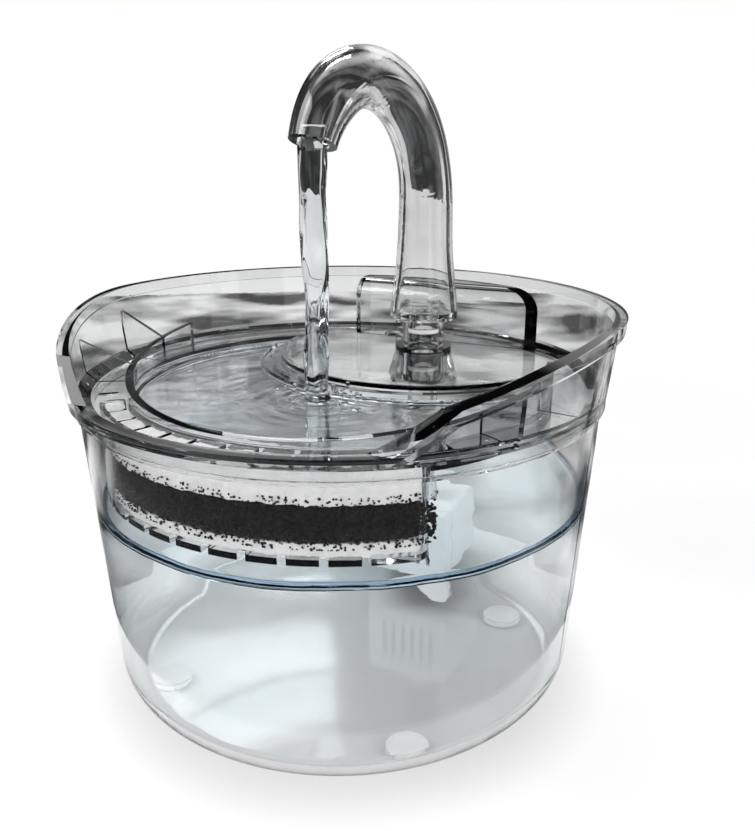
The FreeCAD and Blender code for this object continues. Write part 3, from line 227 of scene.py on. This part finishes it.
def rubber(name, low, high, rough):
    """Dull moulded rubber or silicone."""
    shader = Shader(name, Sheen_Weight=0.1, IOR=1.43)
    shader.colour(shader.ramp(shader.grain(90, 5, 0.7), [(0.35, low), (0.7, high)]))
    shader.rough(shader.level(shader.grain(500, 4), rough - 0.1, rough + 0.1))
    shader.normal(shader.bump(shader.grain(1500, 2), 0.2, 0.0003))
    return shader.material


def metal(name, shade, rough, stretch):
    """Metal with fine grain, drawn out along one way by stretch."""
    shader = Shader(name, Metallic=1.0)
    darker = tuple(c * 0.85 for c in shade)
    shader.colour(shader.ramp(shader.grain(60, 4), [(0.3, darker), (0.7, shade)]))
    shader.rough(shader.level(shader.grain(900, 3, 0.5, stretch), rough - 0.08, rough + 0.12))
    shader.normal(shader.bump(shader.grain(1200, 2, 0.5, stretch), 0.15, 0.0002))
    return shader.material


def cotton_material():
    """White matted fibre with soft shadows between tufts painted into its colour, and a few carbon
    specks.
    """
    shader = Shader("cotton_fibre", Roughness=0.95, Sheen_Weight=0.35, Sheen_Roughness=0.6)
    tufts = shader.grain(260, 8, 0.75)
    # painted shade: the colour is darker where the tufts noise is low, the same noise that sinks
    # the bump on the last line
    base = shader.ramp(tufts, [(0.28, grey(0.76)), (0.45, grey(0.92)), (0.62, grey(0.98))])
    specks = shader.ramp(shader.cells(900), [(0.10, grey(0.12)), (0.16, grey(1.0))])
    where = shader.ramp(shader.grain(330, 3), [(0.60, grey(0.0)), (0.64, grey(1.0))])
    mix = shader.add("ShaderNodeMix", data_type="RGBA", blend_type="MULTIPLY")
    shader.link(where, mix.inputs["Factor"])
    shader.link(base, mix.inputs["A"])
    shader.link(specks, mix.inputs["B"])
    shader.colour(mix.outputs["Result"])
    fine = shader.bump(shader.grain(1700, 6, 0.8, (1, 1, 3)), 0.5, 0.0006)
    return shader.normal(shader.bump(tufts, 0.6, 0.0012, fine)).material


def carbon_material():
    """Black granules with faint facets."""
    shader = Shader("carbon_grain", Roughness=0.6, Specular_IOR_Level=0.35)
    facets = [(0.1, grey(0.001)), (0.5, grey(0.004)), (0.9, grey(0.016))]
    shader.colour(shader.ramp(shader.cells(700), facets))
    shader.rough(shader.level(shader.grain(1100, 3), 0.6, 0.9))
    return shader.normal(shader.bump(shader.cells(1100), 0.8, 0.0008)).material


def sponge_material():
    """Open black foam, with painted shade darkening its pores."""
    shader = Shader("sponge_foam", Roughness=0.9)
    # painted shade: darker at the cell centres, where the same cells sink the bump into pores
    shader.colour(shader.ramp(shader.cells(900), [(0.15, grey(0.01)), (0.5, grey(0.09))]))
    shader.rough(shader.level(shader.grain(600, 3), 0.8, 1.0))
    return shader.normal(shader.bump(shader.cells(900), 1.0, 0.0009)).material


def winding_material():
    """Enamelled copper wire laid side by side, with painted shade in the grooves between turns."""
    shader = Shader("copper_winding", Metallic=1.0, Coat_Weight=0.6)
    waves = shader.add("ShaderNodeTexWave", wave_type="BANDS", bands_direction="X")
    waves.inputs["Scale"].default_value = 900
    waves.inputs["Distortion"].default_value = 0.4
    shader.link(shader.place, waves.inputs["Vector"])
    # copper colour with painted shade: the low band values, which the bump sinks into grooves
    # between turns, are dark brown
    turns = [(0.1, (0.22, 0.07, 0.03)), (0.7, (0.72, 0.30, 0.14))]
    shader.colour(shader.ramp(waves.outputs["Fac"], turns))
    shader.rough(shader.level(shader.grain(400, 2), 0.25, 0.4))
    return shader.normal(shader.bump(waves.outputs["Fac"], 0.8, 0.0006)).material


CLEAR = clear_plastic("tank_plastic", 0.08, 30, 0.03, matte_below=TANK_MATTE_Z)
BOX_CLEAR = clear_plastic("filter_box_plastic", 0.05, 20, 0.03)
TRAY_CLEAR = clear_plastic("tray_plastic", 0.16, 75, 0.03)
TAP_CLEAR = clear_plastic("tap_plastic", 0.40, 14, 0.04)
WHITE = moulded("pump_white", grey(0.84), grey(0.92), 0.35, coat=0.15)
FINISH = {
    "tank": CLEAR,
    "tray": TRAY_CLEAR,
    "cable_cover": TRAY_CLEAR,
    "filter_box": BOX_CLEAR,
    "tap_socket": TAP_CLEAR,
    "socket_nut": TAP_CLEAR,
    "tap": TAP_CLEAR,
    "riser_tube": clear_plastic("riser_silicone", 0.12, 60, 0.12),
    "tap_seal_ring": rubber("seal_silicone", grey(0.72), grey(0.84), 0.4),
    "foot_pad": rubber("pad_silicone", grey(0.76), grey(0.88), 0.45),
    "suction_cup": rubber("cup_silicone", grey(0.70), grey(0.82), 0.4),
    "shaft_bush": rubber("bush_rubber", grey(0.30), grey(0.42), 0.6),
    "cable_gland": rubber("gland_rubber", grey(0.74), grey(0.84), 0.5),
    "pump_casing": WHITE,
    "pump_back_plate": WHITE,
    "chamber_plate": WHITE,
    "intake_cover": WHITE,
    "flow_slider": moulded("slider_grey", grey(0.55), grey(0.66), 0.45),
    "impeller": moulded("impeller_plastic", grey(0.72), grey(0.82), 0.4),
    "rotor_magnet": metal("ferrite", (0.13, 0.13, 0.14), 0.6, (1, 1, 1)),
    "impeller_shaft": metal("shaft_steel", (0.62, 0.62, 0.60), 0.2, (1, 0.05, 1)),
    "stator_core": metal("lamination_steel", (0.42, 0.42, 0.43), 0.4, (0.1, 1, 0.1)),
    "stator_coil": winding_material(),
}
COTTON, CARBON, SPONGE = cotton_material(), carbon_material(), sponge_material()
WATER = water("tank_water", 0.8, 0.05, 1.03)
SURFACE_WATER = water("surface_water", 18.0, 0.15, 1.05, (0.35, 0.75, 0.97))
LINE_WATER = water("meniscus_water", 420.0, 0.10, 1.10, (0.25, 0.62, 0.92))
BOWL_WATER, STREAM_WATER = water("bowl_water", 2.0, 0.12), water("stream_water", 2.0, 0.5)


def finish_of(name):
    """The material of the longest key that the node's name starts with."""
    matches = [key for key in FINISH if name.startswith(key)]
    return FINISH[max(matches, key=len)] if matches else None


for node_name, node in NODES.items():
    chosen = finish_of(node_name)
    if chosen is not None:
        node.data.materials.clear()
        node.data.materials.append(chosen)


# ---------------------------------------------------------------- mesh helpers
def placed(name, mesh, work, material, smooth):
    """An object in the scene from a finished bmesh."""
    work.to_mesh(mesh)
    work.free()
    for polygon in mesh.polygons:
        polygon.use_smooth = smooth
    item = bpy.data.objects.new(name, mesh)
    bpy.context.scene.collection.objects.link(item)
    mesh.materials.append(material)
    return item


def piece(name, verts, faces, material, smooth=True):
    """A mesh piece from millimetre points."""
    mesh = bpy.data.meshes.new(name)
    mesh.from_pydata([tuple(c * MM for c in v) for v in verts], [], faces)
    mesh.validate()
    work = bmesh.new()
    work.from_mesh(mesh)
    bmesh.ops.recalc_face_normals(work, faces=work.faces)
    return placed(name, mesh, work, material, smooth)


def grid_faces(rows, columns, closed):
    """Quads between rows of points, closed round each row if asked."""
    faces = []
    for row in range(rows - 1):
        for column in range(columns if closed else columns - 1):
            nxt = (column + 1) % columns
            a, b = row * columns, (row + 1) * columns
            faces.append((a + column, a + nxt, b + nxt, b + column))
    return faces


def lathe(profile, segments, lift):
    """Rings through (radius, z) points, capped at both ends; lift(x, y, z) says how far a
    point is raised."""
    verts = []
    for radius, z in profile:
        for number in range(segments):
            turn = 2 * math.pi * number / segments
            x, y = radius * math.cos(turn), radius * math.sin(turn)
            verts.append((x, y, z + lift(x, y, z)))
    faces = grid_faces(len(profile), segments, True)
    faces.append(tuple(range(segments)))
    faces.append(tuple(range((len(profile) - 1) * segments, len(profile) * segments)))
    return verts, faces


def ripple(x, y, broad, layer_broad, fine, layer_fine):
    """Low waves of two lengths, in millimetres."""
    return (0.5 * noise.noise(Vector((x / broad, y / broad, layer_broad)))
            + 0.25 * noise.noise(Vector((x / fine, y / fine, layer_fine))))


# ---------------------------------------------------------------- water
def tank_inner_r(z):
    """Inner radius of the tank at a height, with its rounded foot."""
    radius = TANK_BASE_R + TANK_SLOPE * z - TANK_WALL
    up = z - TANK_FLOOR_Z
    if up < TANK_CORNER_R:
        radius -= TANK_CORNER_R - math.sqrt(TANK_CORNER_R ** 2 - (TANK_CORNER_R - up) ** 2)
    return radius


def tank_water():
    """The water in the tank: it climbs a little at the wall and has low waves on top."""
    overlap, climb, wall_steps, foot_steps, rings = 0.06, 0.9, 8, 13, 40
    floor_z, foot_z = TANK_FLOOR_Z + SKIN, TANK_FLOOR_Z + TANK_CORNER_R
    profile = [(20.0, floor_z)]
    for step in range(foot_steps + 1):
        z = floor_z + TANK_CORNER_R * (step / foot_steps) ** 2
        profile.append((tank_inner_r(z) + overlap, z))
    for step in range(1, wall_steps + 1):
        z = foot_z + (WATER_Z + climb - foot_z) * step / wall_steps
        profile.append((tank_inner_r(z) + overlap, z))
    edge = tank_inner_r(WATER_Z)
    level_from, centre_r = 4.0, 0.4
    for back, up in ((0.7, 0.35), (1.8, 0.08), (level_from, 0.0)):
        profile.append((edge - back, WATER_Z + up))
    for step in range(1, rings):
        share = step / rings
        profile.append(((edge - level_from) * (1 - share) + centre_r * share, WATER_Z))

    def waves(x, y, z):
        on_top = WATER_Z - 0.01 <= z <= WATER_Z + 0.5
        return ripple(x, y, 16, 3.0, 6, 9.0) if on_top else 0.0

    verts, faces = lathe(profile, 160, waves)
    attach(piece("water_in_tank", verts, faces, WATER), "tank")


def surface_waves(x, y, z):
    return ripple(x, y, 15, 7.0, 6, 2.0)


SURFACE_EDGE_R = tank_inner_r(WATER_Z + 1.5) + 0.05


def tank_surface():
    """The bright skin on the water in the tank."""
    rings, top = 44, WATER_Z + 0.7
    rim, centre_r = SURFACE_EDGE_R - 1.2, 0.5
    profile = [(SURFACE_EDGE_R - 2.0, WATER_Z - 0.5), (SURFACE_EDGE_R - 0.6, WATER_Z - 0.4)]
    profile += [(rim - (rim - centre_r) * step / rings, top) for step in range(rings + 1)]
    verts, faces = lathe(profile, 180, surface_waves)
    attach(piece("water_surface", verts, faces, SURFACE_WATER), "tank")


def meniscus():
    """The blue line where the water meets the tank wall: a thin ring of five sides."""
    section = [(0.0, -1.1), (0.0, 1.7), (-0.5, 1.2), (-1.5, 0.8), (-1.0, -0.6)]
    count, wide = 180, len(section)
    verts, faces = [], []
    for number in range(count):
        turn = 2 * math.pi * number / count
        for back, up in section:
            x, y = ((SURFACE_EDGE_R + back) * way(turn) for way in (math.cos, math.sin))
            verts.append((x, y, WATER_Z + up + surface_waves(x, y, 0)))
        here, there = number * wide, (number + 1) % count * wide
        for side in range(wide):
            nxt = (side + 1) % wide
            faces.append((here + side, here + nxt, there + nxt, there + side))
    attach(piece("water_meniscus", verts, faces, LINE_WATER), "tank")


def bowl_water():
    """The shallow water in the bowl in front of the terrace, with rings round the stream."""
    columns, rows, overlap, foot_r = 180, 46, 0.05, 4.5
    inner_r = TERRACE_LOW_R - overlap
    span = []
    for number in range(columns + 1):
        turn = math.radians(180 + 180 * number / columns)
        dx, dy = math.cos(turn), math.sin(turn)
        dot = TAP_X * dx + TAP_Y * dy
        reach = -dot + math.sqrt(dot * dot - (TAP_X ** 2 + TAP_Y ** 2 - (BOWL_R + overlap) ** 2))
        if reach > TERRACE_LOW_R + 0.6:
            span.append((dx, dy, reach))

    def top(x, y):
        away = math.hypot(x - STREAM_X, y - STREAM_Y)
        if away > foot_r:
            rings = 0.24 * math.sin(away * 1.15) * math.exp(-away / 13)
        else:
            rings = 0.6 * (1 - away / foot_r)
        return BOWL_WATER_Z + rings + 0.18 * noise.noise(Vector((x / 9, y / 9, 5.0)))

    verts = []
    for row in range(rows):
        for dx, dy, reach in span:
            share = row / (rows - 1)
            dist = inner_r + (reach - inner_r) * share
            x, y = TAP_X + dx * dist, TAP_Y + dy * dist
            rise = 0.35 if row in (0, rows - 1) else 0.0
            verts.append((x, y, top(x, y) + rise))
    count = len(span)
    verts += [(x, y, BOWL_Z + SKIN) for x, y, z in verts]
    upper = grid_faces(rows, count, False)
    half = rows * count
    faces = upper + [tuple(half + i for i in reversed(face)) for face in upper]
    for row in range(rows - 1):
        for column in (0, count - 1):
            a, b = row * count + column, (row + 1) * count + column
            faces.append((a, b, b + half, a + half))
    for column in range(count - 1):
        for row in (0, rows - 1):
            a = row * count + column
            faces.append((a, a + 1, a + 1 + half, a + half))
    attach(piece("water_in_bowl", verts, faces, BOWL_WATER), "tray")


def stream():
    """The falling stream: a twisting, slightly necking rope of water from the outlet."""
    rows, columns = 110, 40
    verts = []
    high, low = OUTLET_Z + 5.0, BOWL_WATER_Z - 1.5
    for row in range(rows):
        share = row / (rows - 1)
        z = high + (low - high) * share
        inside = max(0.0, z - OUTLET_Z)
        forward = inside * math.tan(OUTLET_TILT) * 0.85
        neck = 4.55 - 0.55 * min(1.0, share * 1.6) + 0.25 * math.sin(share * 17)
        if z < BOWL_WATER_Z + 3:
            neck += 0.9 * (1 - max(0.0, z - BOWL_WATER_Z) / 3) ** 2
        for column in range(columns):
            turn = 2 * math.pi * column / columns
            ridge = 0.35 * math.cos(3 * turn + share * 9) + 0.22 * math.cos(5 * turn - share * 14)
            wobble = 0.5 * noise.noise(Vector((math.cos(turn) * 1.4, math.sin(turn) * 1.4, z / 11)))
            radius = neck + ridge + wobble
            verts.append((STREAM_X + radius * math.cos(turn) + forward * 0.13,
                          STREAM_Y + 0.8 * radius * math.sin(turn) + forward, z))
    faces = grid_faces(rows, columns, True)
    faces += [tuple(range(columns)), tuple(range((rows - 1) * columns, rows * columns))]
    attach(piece("water_stream", verts, faces, STREAM_WATER), "tap")


def droplets():
    """Small splashed beads of water round the foot of the stream."""
    maker = random.Random(11)
    work = bmesh.new()
    for _ in range(26):
        turn, away = maker.uniform(0, 2 * math.pi), maker.uniform(6, 15)
        size = maker.uniform(0.35, 0.9)
        spot = Vector((STREAM_X + away * math.cos(turn), STREAM_Y + away * math.sin(turn) * 0.9,
                       BOWL_WATER_Z + 0.2 + maker.uniform(0, 1) * maker.uniform(0, 7)))
        shape = Matrix.Translation(spot * MM) @ Matrix.Diagonal((1, 1, maker.uniform(0.9, 1.5), 1))
        bmesh.ops.create_icosphere(work, subdivisions=3, radius=size * MM, matrix=shape)
    mesh = bpy.data.meshes.new("splash_drops")
    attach(placed("splash_drops", mesh, work, BOWL_WATER, True), "tray")


# ---------------------------------------------------------------- filter layers
def fibrous(node_name, name, material, voxel, depth, scale):
    """A soft layer in a node's place: remeshed finely and pressed in by noise."""
    source = NODES[node_name]
    item = bpy.data.objects.new(name, source.data.copy())
    bpy.context.scene.collection.objects.link(item)
    item.data.materials.clear()
    remesh = item.modifiers.new("fine", "REMESH")
    remesh.mode = "VOXEL"
    remesh.voxel_size = voxel * MM
    remesh.use_smooth_shade = True
    bpy.context.view_layer.update()
    graph = bpy.context.evaluated_depsgraph_get()
    shaped = bpy.data.meshes.new_from_object(item.evaluated_get(graph))
    item.modifiers.clear()
    item.data = shaped
    normals = [v.normal.copy() for v in shaped.vertices]
    for vertex, normal in zip(shaped.vertices, normals):
        spot = vertex.co / MM
        tuft = noise.fractal(spot / scale, 0.7, 2.1, 4) * 0.5 + 0.5
        vertex.co -= normal * (depth * max(0.0, min(1.0, tuft)) * MM)
    for polygon in shaped.polygons:
        polygon.use_smooth = True
    shaped.materials.clear()
    shaped.materials.append(material)
    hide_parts(node_name)
    return item


def granules():
    """Loose carbon grains along the filter box walls, thickest in the carbon layer."""
    maker = random.Random(5)
    low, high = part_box("carbon_layer")
    z_low, z_high = low.z / MM, high.z / MM
    work = bmesh.new()
    half = math.acos(-FILTER_CHORD_Y / FILTER_INNER_R)
    for _ in range(3000):
        turn = -math.pi / 2 + maker.uniform(-half, half)
        level = maker.gauss((z_low + z_high) / 2, (z_high - z_low) * 0.36)
        level = max(z_low - 2.0, min(z_high + 2.6, level))
        size = maker.uniform(0.45, 0.95) * (1.0 if z_low < level < z_high else 0.6)
        away = FILTER_INNER_R + 0.45 - size
        spot = Vector((away * math.cos(turn), away * math.sin(turn), level))
        if spot.y > FILTER_CHORD_Y:
            continue
        angle = maker.uniform(0, 6.28)
        pole = Vector((maker.random(), maker.random(), 1)).normalized()
        flat = Matrix.Diagonal((1, maker.uniform(0.6, 1), maker.uniform(0.5, 1), 1))
        shape = Matrix.Translation(spot * MM) @ Matrix.Rotation(angle, 4, pole) @ flat
        bmesh.ops.create_icosphere(work, subdivisions=1, radius=size * MM, matrix=shape)
    item = placed("carbon_grains", bpy.data.meshes.new("carbon_grains"), work, CARBON, False)
    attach(item, "filter")


def soft_layers():
    """The filter's pads and the intake sponge, in place of the plain solids."""
    for node, name, material, body, slot, voxel, depth, scale in (
            ("cotton_pad_upper", "cotton_upper", COTTON, "filter", "cotton", 0.8, 0.9, 3.2),
            ("cotton_pad_lower", "cotton_lower", COTTON, "filter", "cotton", 0.8, 0.9, 3.2),
            ("carbon_layer", "carbon_bed", CARBON, "filter", "carbon", 0.7, 0.8, 1.3),
            ("intake_sponge", "sponge_block", SPONGE, "intake", "sponge", 0.5, 0.3, 0.8)):
        item = fibrous(node, name, material, voxel, depth, scale)
        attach(item, body)


tank_water()
tank_surface()
meniscus()
bowl_water()
stream()
droplets()
soft_layers()
granules()

CLEAR_PIECES = ("tank", "tray", "cable_cover", "filter_box", "tap_socket", "socket_nut", "tap",
                "riser_tube", "water_in_tank", "water_surface", "water_meniscus", "water_in_bowl",
                "water_stream", "splash_drops")
SHADING_PIECES = ("tap", "cable_cover")
for name in CLEAR_PIECES:
    bpy.data.objects[name].visible_diffuse = False
    bpy.data.objects[name].visible_shadow = name in SHADING_PIECES


# ---------------------------------------------------------------- studio
def floor():
    """A pale floor whose colour carries a painted shadow under the clear tank; it brightens towards
    white far from the object for the camera alone."""
    shader = Shader("studio_floor", Roughness=0.9)
    away = shader.add("ShaderNodeVectorMath", operation="LENGTH")
    shader.link(shader.place, away.inputs[0])
    away = away.outputs["Value"]
    # painted shadow: the floor colour is darker within the tank's footprint, in place of the shadow
    # that the clear pieces don't cast
    painted_tank_shadow = [(0.0, grey(0.55)), (1.0, grey(0.92))]
    shader.colour(shader.ramp(shader.smooth(away, 0.070, 0.100), painted_tank_shadow))
    shader.normal(shader.bump(shader.grain(300, 3), 0.03, 0.0005))
    glow = shader.add("ShaderNodeEmission")
    path = shader.add("ShaderNodeLightPath")
    far = shader.smooth(away, 0.08, 0.55, 0.35, 1.0)
    blend = shader.add("ShaderNodeMixShader")
    shader.link(shader.joined("MULTIPLY", path.outputs["Is Camera Ray"], far), blend.inputs["Fac"])
    shader.link(shader.main.outputs["BSDF"], blend.inputs[1])
    shader.link(glow.outputs["Emission"], blend.inputs[2])
    shader.link(blend.outputs["Shader"], shader.out.inputs["Surface"])
    count, size, under = 21, 6000.0, -0.05
    marks = [-size / 2 + size * i / (count - 1) for i in range(count)]
    verts = [(x, y, under) for y in marks for x in marks]
    piece("studio_floor", verts, grid_faces(count, count, False), shader.material)


def unseen(item):
    """A stage piece that only reflections and views through clear parts meet."""
    item.visible_camera = False
    item.visible_diffuse = False
    item.visible_shadow = False


def card(name, turn):
    """A dark upright studio card, as wide and high as a door is to a small object, that only
    reflections and views through clear parts meet: a painted dark reflection.
    """
    away, wide, low, high, columns, shade = 700.0, 300.0, 20.0, 700.0, 5, 0.02
    shader = Shader(name + "_painted_reflection", Roughness=1.0)
    # painted reflection: this dark colour shows only in reflections and through the clear parts
    shader.colour(shader.ramp(shader.grain(40, 3), [(0.3, grey(shade)), (0.7, grey(shade * 1.3))]))
    centre = Vector((math.cos(turn), math.sin(turn), 0)) * away
    side = Vector((-math.sin(turn), math.cos(turn), 0)) * wide / 2
    verts = [tuple(centre + side * (2 * number / (columns - 1) - 1) + Vector((0, 0, z)))
             for z in (low, high) for number in range(columns)]
    unseen(piece(name, verts, grid_faces(2, columns, False), shader.material, smooth=False))


def dark_table():
    """A ring on the floor that only reflections and views through clear parts meet: a painted
    reflection, dark in front and patchy behind, as a cloth and a room would be.
    """
    shader = Shader("painted_reflection_cloth", Roughness=1.0)
    # painted reflection: these patches and the dark front show only in reflections and through the
    # clear parts
    patches = shader.ramp(shader.grain(9, 2), [(0.40, grey(0.06)), (0.58, grey(0.85))])
    mix = shader.add("ShaderNodeMix", data_type="RGBA")
    shader.link(shader.smooth(shader.axis("Y"), -0.06, 0.06), mix.inputs["Factor"])
    mix.inputs["A"].default_value = (*grey(0.04), 1.0)
    shader.link(patches, mix.inputs["B"])
    shader.colour(mix.outputs["Result"])
    columns, radii, over = 96, (105.0, 180.0, 350.0, 800.0), 0.4
    turns = [2 * math.pi * number / columns for number in range(columns)]
    verts = [(radius * math.cos(turn), radius * math.sin(turn), over)
             for radius in radii for turn in turns]
    unseen(piece("dark_table", verts, grid_faces(len(radii), columns, True), shader.material))


def lamp(name, spot, aim, size, power):
    """A soft lamp at a spot, turned to its aim."""
    data = bpy.data.lights.new(name, "AREA")
    data.shape = "RECTANGLE"
    data.size, data.size_y, data.energy = size, size * 0.8, power
    item = bpy.data.objects.new(name, data)
    item.location = spot
    item.rotation_euler = (Vector(aim) - Vector(spot)).to_track_quat("-Z", "Y").to_euler()
    bpy.context.scene.collection.objects.link(item)


def world():
    """A white room for the camera, softer for the light, and cloudy for glass and gloss."""
    made = bpy.data.worlds.new("studio_world")
    bpy.context.scene.world = made
    made.use_nodes = True
    tree = made.node_tree
    tree.nodes.clear()
    out = tree.nodes.new("ShaderNodeOutputWorld")
    path = tree.nodes.new("ShaderNodeLightPath")
    place = tree.nodes.new("ShaderNodeTexCoord")
    clouds = tree.nodes.new("ShaderNodeTexNoise")
    clouds.inputs["Scale"].default_value = 1.6
    clouds.inputs["Detail"].default_value = 1.0
    tree.links.new(place.outputs["Generated"], clouds.inputs["Vector"])

    def plain(strength):
        shade = tree.nodes.new("ShaderNodeBackground")
        shade.inputs["Color"].default_value = (1, 1, 1, 1)
        shade.inputs["Strength"].default_value = strength
        return shade.outputs["Background"]

    def cloudy(*stops):
        ramp, shade = tree.nodes.new("ShaderNodeValToRGB"), tree.nodes.new("ShaderNodeBackground")
        for point, (where, value) in zip(ramp.color_ramp.elements, stops):
            point.position = where
            point.color = (*grey(value), 1)
        tree.links.new(clouds.outputs["Fac"], ramp.inputs["Fac"])
        tree.links.new(ramp.outputs["Color"], shade.inputs["Color"])
        return shade.outputs["Background"]

    shown = plain(0.75)
    for ray, shade in (("Is Transmission Ray", cloudy((0.38, 0.35), (0.52, 1.0))),
                       ("Is Glossy Ray", cloudy((0.50, 0.03), (0.60, 1.0))),
                       ("Is Camera Ray", plain(1.0))):
        step = tree.nodes.new("ShaderNodeMixShader")
        tree.links.new(path.outputs[ray], step.inputs["Fac"])
        tree.links.new(shown, step.inputs[1])
        tree.links.new(shade, step.inputs[2])
        shown = step.outputs["Shader"]
    tree.links.new(shown, out.inputs["Surface"])


def camera():
    """The photograph's camera."""
    turn, pitch = math.radians(115.54), 0.312
    data = bpy.data.cameras.new("photo_camera")
    data.sensor_width, data.lens = 36.0, 36.15
    item = bpy.data.objects.new("photo_camera", data)
    item.location = (0.1311, -0.2465, 0.1827)
    level = math.cos(pitch)
    forward = Vector((math.cos(turn) * level, math.sin(turn) * level, -math.sin(pitch)))
    item.rotation_euler = forward.to_track_quat("-Z", "Y").to_euler()
    data.clip_start = 0.01
    bpy.context.scene.collection.objects.link(item)
    bpy.context.scene.camera = item


floor()
dark_table()
for number, turn in enumerate((70.5, 160.5, 250.5, 340.5)):
    card(f"dark_card_{number}", math.radians(turn))
world()
camera()
lamp("key_lamp", (-0.75, -0.55, 0.95), (0, 0, 0.08), 0.7, 7.0)
lamp("fill_lamp", (0.9, -0.25, 0.6), (0, 0, 0.1), 0.6, 3.0)
lamp("back_lamp", (-0.57, 0.78, 0.72), (0, 0, 0.03), 0.25, 0.7)
bpy.context.scene.view_settings.view_transform = "Standard"
